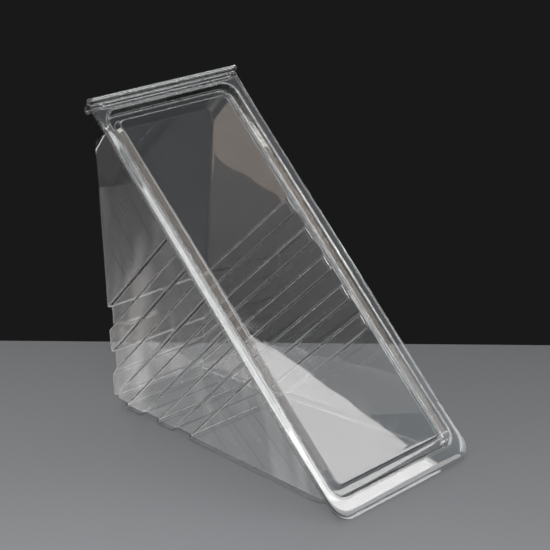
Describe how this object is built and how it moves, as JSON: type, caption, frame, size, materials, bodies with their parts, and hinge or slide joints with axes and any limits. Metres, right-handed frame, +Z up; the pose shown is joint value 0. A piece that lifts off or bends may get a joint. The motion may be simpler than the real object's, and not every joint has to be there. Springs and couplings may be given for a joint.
{
  "type": "sandwich wedge container",
  "caption": "Clear thermoformed wedge tray for a cut sandwich, with belted walls and a plug-fit lid on a folded strip hinge.",
  "frame": {"origin": "centre of the bounding box's base, on the surface the container stands on", "axes": "+X across the width, +Y towards the upright back wall, so the lid slopes down to -Y, +Z up"},
  "size_m": [0.078, 0.135, 0.1326],
  "materials": {
    "clear_pet": "gloss"
  },
  "bodies": {
    "base": {"tray": "clear_pet", "hinge_strip": "clear_pet"},
    "lid": {"lid": "clear_pet"}
  },
  "joints": [
    {"name": "lid_hinge", "type": "hinge", "parent": "base", "child": "lid", "pos_m": [0, 0.06358, 0.13156], "axis": [-1, 0, 0], "range_deg": [0, 180], "deforming": ["hinge_strip"]}
  ]
}
